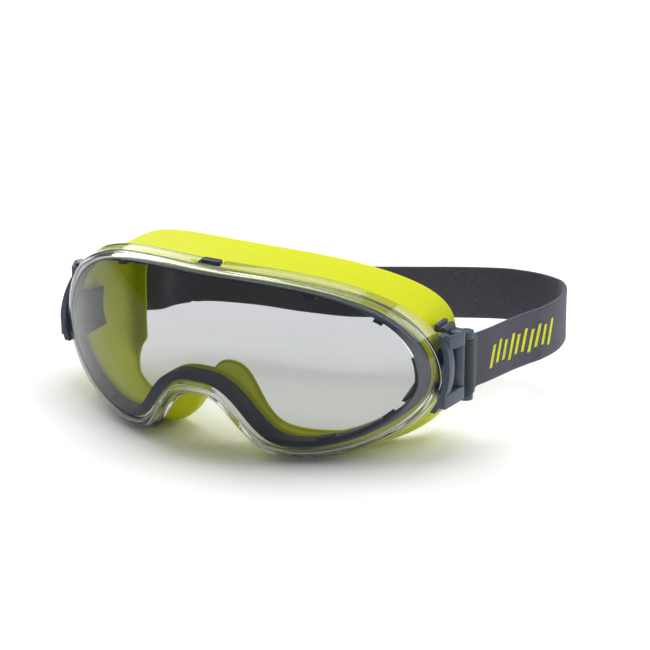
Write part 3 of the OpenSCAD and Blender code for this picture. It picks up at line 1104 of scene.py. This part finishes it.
@dataclass
class Headband:
    """The elastic webbing, drawn as a line seen from above, with its print."""

    seat: Seat
    bar: tuple[float, float]
    sleeve: float = 8.0
    depth: float = 91.6
    width: float = 24.5
    thick: float = 1.6
    lower: float = 24.3
    run: float = 28.0
    steps: int = 12
    shape: Sequence[tuple[float, float]] = (
        (1.03, 0.19), (1.065, 0.36), (1.1, 0.485), (1.125, 0.565), (1.14, 0.68), (1.135, 0.77),
        (1.11, 0.87), (1.065, 0.94), (1.01, 0.975), (0.92, 1), (0.815, 1), (0.72, 0.98), (0.545, 0.9),
        (0.345, 0.79), (0.15, 0.685), (0.03, 0.636), (-0.18, 0.598), (-0.39, 0.58), (-0.6, 0.525),
        (-0.7, 0.46), (-0.755, 0.38),
    )

    def line(self) -> np.ndarray:
        """The webbing's middle line from sleeve to sleeve, seen from above."""
        bx, by = self.bar
        end = by + self.sleeve
        run = np.array([1.1, 1.0]) / math.hypot(1.1, 1.0)
        points = [(bx, end - 6), (bx, end - 1.5)]
        points += [(x * bx, by + y * self.depth) for x, y in self.shape]
        points += [tuple(np.array([-bx, end]) + run * t) for t in (self.run, self.run - 8, 10, -1.5, -6)]
        p = np.array(points)
        line = []
        for i in range(1, len(p) - 2):
            a, b, c, d = p[i - 1 : i + 3]
            for t in np.arange(self.steps) / self.steps:
                bend, twist = 2 * a - 5 * b + 4 * c - d, 3 * b - a - 3 * c + d
                line.append(0.5 * (2 * b + (c - a) * t + bend * t**2 + twist * t**3))
        line.append(p[-2])
        kept = [q for q in line if q[1] > end + 0.05]
        return np.array([[bx, end + 0.02], *kept, [-bx, end + 0.02]])

    def lengths(self) -> np.ndarray:
        """Distance of each point of the line from its start."""
        steps = np.linalg.norm(np.diff(self.line(), axis=0), axis=1)
        return np.concatenate([[0], np.cumsum(steps)])

    def sides(self) -> np.ndarray:
        """The direction that points out of the loop, at each point of the line."""
        line = self.line()
        t = np.gradient(line, axis=0)
        t = t / np.linalg.norm(t, axis=1, keepdims=True)
        t[0] = np.array([0.0, 1.0])
        t[-1] = np.array([0.0, -1.0])
        return np.stack([t[:, 1], -t[:, 0]], 1)

    def section(self) -> list[tuple[float, float]]:
        """Out and up of the webbing's rounded section."""
        half, edge = self.thick / 2, 0.7
        low = [edge, 1.6, 3.2]
        ups = [*low, *np.linspace(5, self.width - 5, 8), *(self.width - up for up in low[::-1])]
        plump = [0.0, 0.0, -0.06, *([-0.1] * 8), -0.06, 0.0, 0.0]
        front = [(half + p, u) for u, p in zip(ups, plump)]
        back = [(-half - p, u) for u, p in zip(ups[::-1], plump[::-1])]
        end = half * 0.55
        return front + [(end, self.width), (-end, self.width)] + back + [(-end, 0.0), (end, 0.0)]

    def build(self, finishes: Finishes) -> list[bpy.types.Object]:
        """Make the webbing and its print.

        Args:
            finishes: the goggles' finishes.

        Returns:
            The pieces.
        """
        line, out, lengths, section = self.line(), self.sides(), self.lengths(), self.section()
        count = len(section)
        points, marks = [], []
        for p, n, length in zip(line, out, lengths):
            for side, up in section:
                points.append((p[0] + n[0] * side, p[1] + n[1] * side, self.lower + up))
                marks.append((length * MM, (up - self.width / 2) * MM))
        faces = band_faces(len(line), count, False)
        last = (len(line) - 1) * count
        faces += [tuple(range(count)), tuple(last + k for k in reversed(range(count)))]
        band = mesh_piece("headband_webbing", np.array(points), faces, self.seat, finishes.webbing, 50)
        add_weave_map(band, marks)
        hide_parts("headband")
        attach(band, "goggles")
        return [band, self.print_piece(finishes)]

    def print_piece(self, finishes: Finishes) -> bpy.types.Object:
        """A row of plain slanted bars printed in lime on the outside of the webbing."""
        bars = [(9.0 + 4.4 * i, 7.2 if i % 3 else 5.8, 17.4 if i % 2 else 16.0) for i in range(10)]
        return self.bars_piece("headband_print", bars, 1.8, 2.6, 1.0, finishes)

    def bars_piece(
        self, name: str, bars: Sequence[tuple[float, float, float]],
        width: float, slant: float, side: float, finishes: Finishes,
    ) -> bpy.types.Object:
        """Printed bars that lie on the webbing.

        Args:
            name: the piece's name.
            bars: distance along, lower end and upper end of each bar.
            width: each bar's width.
            slant: how far a bar's top leans along the webbing.
            side: 1 for the outside of the loop, -1 for its inside.
            finishes: the goggles' finishes.

        Returns:
            The piece.
        """
        line, out, lengths = self.line(), self.sides(), self.lengths()
        points, faces = [], []
        rows, cols = 5, 4
        for start, low, high in bars:
            for lift in (0.02, 0.12):
                for r in range(rows):
                    up = low + (high - low) * r / (rows - 1)
                    for c in range(cols):
                        along = start + width * c / (cols - 1) + slant * (up - low) / 10
                        p = [np.interp(along, lengths, line[:, k]) for k in (0, 1)]
                        n = [np.interp(along, lengths, out[:, k]) for k in (0, 1)]
                        reach = side * (self.thick / 2 - 0.1 + lift)
                        points.append((p[0] + n[0] * reach, p[1] + n[1] * reach, self.lower + up))
            base = len(points) - 2 * rows * cols
            grid = rows * cols
            for r in range(rows - 1):
                for c in range(cols - 1):
                    a = base + r * cols + c
                    faces.append((a, a + 1, a + cols + 1, a + cols))
                    faces.append((a + grid, a + grid + cols, a + grid + cols + 1, a + grid + 1))
            rim = [r * cols for r in range(rows)] + [(rows - 1) * cols + c for c in range(1, cols)]
            rim += [r * cols + cols - 1 for r in range(rows - 2, -1, -1)]
            rim += list(range(cols - 2, 0, -1))
            for k, a in enumerate(rim):
                b = rim[(k + 1) % len(rim)]
                faces.append((base + a, base + b, base + b + grid, base + a + grid))
        piece = mesh_piece(name, np.array(points), faces, self.seat, finishes.ink)
        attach(piece, "goggles")
        return piece


def add_weave_map(thing: bpy.types.Object, marks: Sequence[tuple[float, float]]) -> None:
    """Give a piece a weave map, in metres along and across the webbing.

    Args:
        thing: the piece.
        marks: along and across, for each of its points.
    """
    layer = thing.data.uv_layers.new(name="weave")
    for loop in thing.data.loops:
        layer.data[loop.index].uv = marks[loop.vertex_index]


@dataclass
class StrapSleeve:
    """The doubled end of the webbing, sewn round its bar."""

    side: Hand
    seat: Seat
    bar: tuple[float, float]
    bar_radius: float = 2.0
    gap: float = 0.3
    thick: float = 1.6
    length: float = 8.0
    width: float = 24.4
    lower: float = 24.35
    stitch_pitch: float = 2.7
    stitch_length: float = 2.1
    stitch_rows: Sequence[tuple[float, float]] = ((5.2, 1.88), (6.8, 1.7))

    def outline(self) -> np.ndarray:
        """Outer line of the sleeve seen from above, from its end round the bar and back."""
        r = self.bar_radius + self.gap + self.thick
        arc = [(-r * math.cos(a), -r * math.sin(a)) for a in np.linspace(0.0, math.pi, 25)]
        right = [(r * 0.93, 1.6), (r * 0.68, 3.2), (2.0, 4.6), (1.75, 6.0), (1.6, self.length)]
        left = [(-x, y) for x, y in right[::-1]]
        return np.array(left + arc + right)

    def build(self, finishes: Finishes) -> list[bpy.types.Object]:
        """Make the sleeve and its stitching.

        Args:
            finishes: the goggles' finishes.

        Returns:
            The pieces.
        """
        outer = self.outline()
        run = np.concatenate([[0], np.cumsum(np.linalg.norm(np.diff(outer, axis=0), axis=1))])
        t = np.gradient(outer, axis=0)
        t /= np.linalg.norm(t, axis=1, keepdims=True)
        inner = outer - np.stack([t[:, 1], -t[:, 0]], 1) * self.thick
        inner[:, 0] = np.where(outer[:, 0] > 0, np.maximum(inner[:, 0], 0.02), np.minimum(inner[:, 0], -0.02))
        ups = [0.0, 0.35, *np.linspace(1.2, self.width - 1.2, 9), self.width - 0.35, self.width]
        tuck = [0.35, 0.08, *([0.0] * 9), 0.08, 0.35]
        points, marks, faces = [], [], []
        n = len(outer)
        for skin, sign in ((outer, 1.0), (inner, -1.0)):
            for up, pull in zip(ups, tuck):
                normal = np.stack([t[:, 1], -t[:, 0]], 1)
                for k in range(n):
                    x, y = skin[k] - normal[k] * pull * sign
                    points.append((self.side.value * (self.bar[0] + x), self.bar[1] + y, self.lower + up))
                    marks.append((run[k] * MM, (up - self.width / 2) * MM))
        rows = len(ups)
        grid = rows * n
        for r in range(rows - 1):
            for k in range(n - 1):
                a = r * n + k
                b = a + grid
                faces += [(a, a + 1, a + n + 1, a + n), (b, b + n, b + n + 1, b + 1)]
        top = (rows - 1) * n
        for k in range(n - 1):
            up = top + k
            faces += [(k, k + grid, k + grid + 1, k + 1), (up, up + 1, up + 1 + grid, up + grid)]
        for r in range(rows - 1):
            for k in (0, n - 1):
                a = r * n + k
                faces.append((a, a + n, a + n + grid, a + grid))
        name = f"strap_sleeve_{self.side.word}_cloth"
        sleeve = mesh_piece(name, np.array(points), faces, self.seat, finishes.sleeve, 50)
        add_weave_map(sleeve, marks)
        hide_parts(f"strap_sleeve_{self.side.word}")
        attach(sleeve, "goggles")
        return [sleeve, self.stitching(finishes)]

    def stitching(self, finishes: Finishes) -> bpy.types.Object:
        """Two rows of stitches that close the sleeve on each face.

        Args:
            finishes: the goggles' finishes.

        Returns:
            The piece.
        """
        ups = np.arange(self.lower + 1.8, self.lower + self.width - 1.2, self.stitch_pitch)
        spots = [
            (self.side.value * (self.bar[0] + face * out), self.bar[1] + y, up)
            for y, out in self.stitch_rows for face in (1, -1) for up in ups
        ]
        piece = Repeats(RepeatForm.STITCH, (0.34, 0.6, self.stitch_length)).make(
            f"strap_stitches_{self.side.word}", spots, self.seat, finishes.thread
        )
        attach(piece, "goggles")
        return piece


@dataclass
class Fittings:
    """The moulded pieces of the temples, the latch and the slider."""

    seat: Seat

    def build(self, finishes: Finishes) -> list[bpy.types.Object]:
        """Make the pieces that keep their CAD shape, with rounded edges.

        Args:
            finishes: the goggles' finishes.

        Returns:
            The pieces.
        """
        pieces = []
        for side in Hand:
            word = side.word
            rows = (
                (f"clip_{word}", finishes.clip, 0.5, "slate_clip", f"{word}_clip"),
                (f"strap_mount_{word}", finishes.mount, 0.35, "slate_mount", "goggles"),
                (f"vent_block_{word}", finishes.mount, 0.35, "slate_mount", "goggles"),
                (f"temple_plate_{word}", finishes.plate, 0.3, "inner_plate", "goggles"),
            )
            for node, material, edge, slot, body in rows:
                pieces.append(self.moulded(node, material, edge, slot, body))
            carried = ((f"clip_pin_{word}", finishes.steel), (f"strap_bar_{word}", finishes.mount))
            for node, material in carried:
                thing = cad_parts[node]
                thing.data.materials.clear()
                thing.data.materials.append(material)
        pieces.append(self.moulded("top_latch", finishes.latch, 0.5, "dark_latch", "latch"))
        pieces.append(self.moulded("strap_slider", finishes.mount, 0.45, "slate_mount", "slider"))
        return pieces

    def moulded(
        self, node: str, material: bpy.types.Material, edge: float, slot: str, body: str
    ) -> bpy.types.Object:
        """One moulded piece.

        Args:
            node: the CAD node that it stands for.
            material: its finish.
            edge: the rounding of its edges.
            slot: not used.
            body: the body that it rides on.

        Returns:
            The piece.
        """
        piece = rounded_copy(node, material, edge)
        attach(piece, body)
        return piece


# ---------------------------------------------------------------- the studio


@dataclass
class Studio:
    """A plain pale floor, soft light and the camera."""

    azimuth: float = 28.48
    elevation: float = 20.32
    distance: float = 1.32346
    lens: float = 166.7
    target: tuple[float, float, float] = (0.01898, -0.00725, 0.04123)

    def build(self) -> None:
        """Set up the floor, the lights and the camera."""
        self.floor()
        self.lights()
        self.camera()
        bpy.context.scene.view_settings.view_transform = "Standard"

    def floor(self) -> None:
        """A wide matte sheet that the goggles stand on."""
        sheet = NodeSheet("studio_floor")
        sheet.set(Roughness=0.9, Specular_IOR_Level=0.1)
        sheet.shader.inputs["Base Color"].default_value = (1.0, 1.0, 1.0, 1.0)
        mesh = bpy.data.meshes.new("floor")
        size = 6.0
        corners = [(-size, -size, 0), (size, -size, 0), (size, size, 0), (-size, size, 0)]
        mesh.from_pydata(corners, [], [(0, 1, 2, 3)])
        mesh.materials.append(sheet.material)
        floor = new_object("floor", mesh)

    def lights(self) -> None:
        """A pale surround, a broad top light, two side lights and two long strips."""
        world = bpy.data.worlds.new("surround")
        bpy.context.scene.world = world
        world.use_nodes = True
        nodes, links = world.node_tree.nodes, world.node_tree.links
        back = nodes["Background"]
        place = nodes.new("ShaderNodeTexCoord")
        split = nodes.new("ShaderNodeSeparateXYZ")
        ramp = nodes.new("ShaderNodeValToRGB")
        links.new(place.outputs["Generated"], split.inputs[0])
        links.new(split.outputs[2], ramp.inputs[0])
        links.new(ramp.outputs[0], back.inputs[0])
        ramp.color_ramp.elements[0].position, ramp.color_ramp.elements[0].color = 0.1, (0.1, 0.105, 0.115, 1)
        ramp.color_ramp.elements[1].position, ramp.color_ramp.elements[1].color = 0.8, (1, 1, 1, 1)
        back.inputs[1].default_value = 0.55
        for name, where, size, power in (
            ("top", (-0.1, 0.25, 1.2), (1.2, 0.9), 9.0),
            ("side_left", (-1.0, 0.5, 0.75), (0.9, 0.7), 6.5),
            ("side_right", (1.0, 0.6, 0.75), (0.9, 0.7), 5.5),
            ("strip_left", (-1.3, -0.2, 0.7), (0.2, 1.2), 1.0),
            ("strip_right", (1.3, -0.4, 0.8), (0.2, 1.3), 1.8),
        ):
            data = bpy.data.lights.new(name, "AREA")
            data.shape, data.size, data.size_y, data.energy = "RECTANGLE", *size, power
            lamp = bpy.data.objects.new(name, data)
            bpy.context.scene.collection.objects.link(lamp)
            lamp.location = where
            lamp.rotation_euler = (Vector((0, 0, 0.03)) - Vector(where)).to_track_quat("-Z", "Y").to_euler()

    def camera(self) -> None:
        """The camera, at the goggles' three-quarter view."""
        a, e = math.radians(self.azimuth), math.radians(self.elevation)
        back = Vector((math.sin(a) * math.cos(e), -math.cos(a) * math.cos(e), math.sin(e)))
        data = bpy.data.cameras.new("camera")
        data.lens, data.sensor_width, data.clip_start, data.clip_end = self.lens, 36.0, 0.05, 50.0
        camera = bpy.data.objects.new("camera", data)
        bpy.context.scene.collection.objects.link(camera)
        camera.location = Vector(self.target) + back * self.distance
        camera.rotation_euler = (-back).to_track_quat("-Z", "Y").to_euler()
        bpy.context.scene.camera = camera


def main() -> None:
    """Build the goggles and the studio."""
    logging.basicConfig(level=logging.INFO, format="%(message)s")
    finishes = Finishes()
    outline = Outline()
    hinge_y = float(outline.face(outline.half, outline.middle)) + 13.6
    bar = (outline.half + 0.5, hinge_y + 8.2)
    seat = Seat.from_cad(bar[1], 21.4)
    pieces = [LensPanel(outline, seat).build(finishes)]
    pieces += HardFrame(outline, seat).build(finishes)
    pieces.append(FaceSeal(outline, seat).build(finishes))
    pieces += Headband(seat, bar).build(finishes)
    for side in Hand:
        pieces += StrapSleeve(side, seat, bar).build(finishes)
    pieces += Fittings(seat).build(finishes)
    Studio().build()
    for piece in pieces:
        LOG.info("%s: %d faces", piece.name, len(piece.data.polygons))


if __name__ == "__main__":
    main()
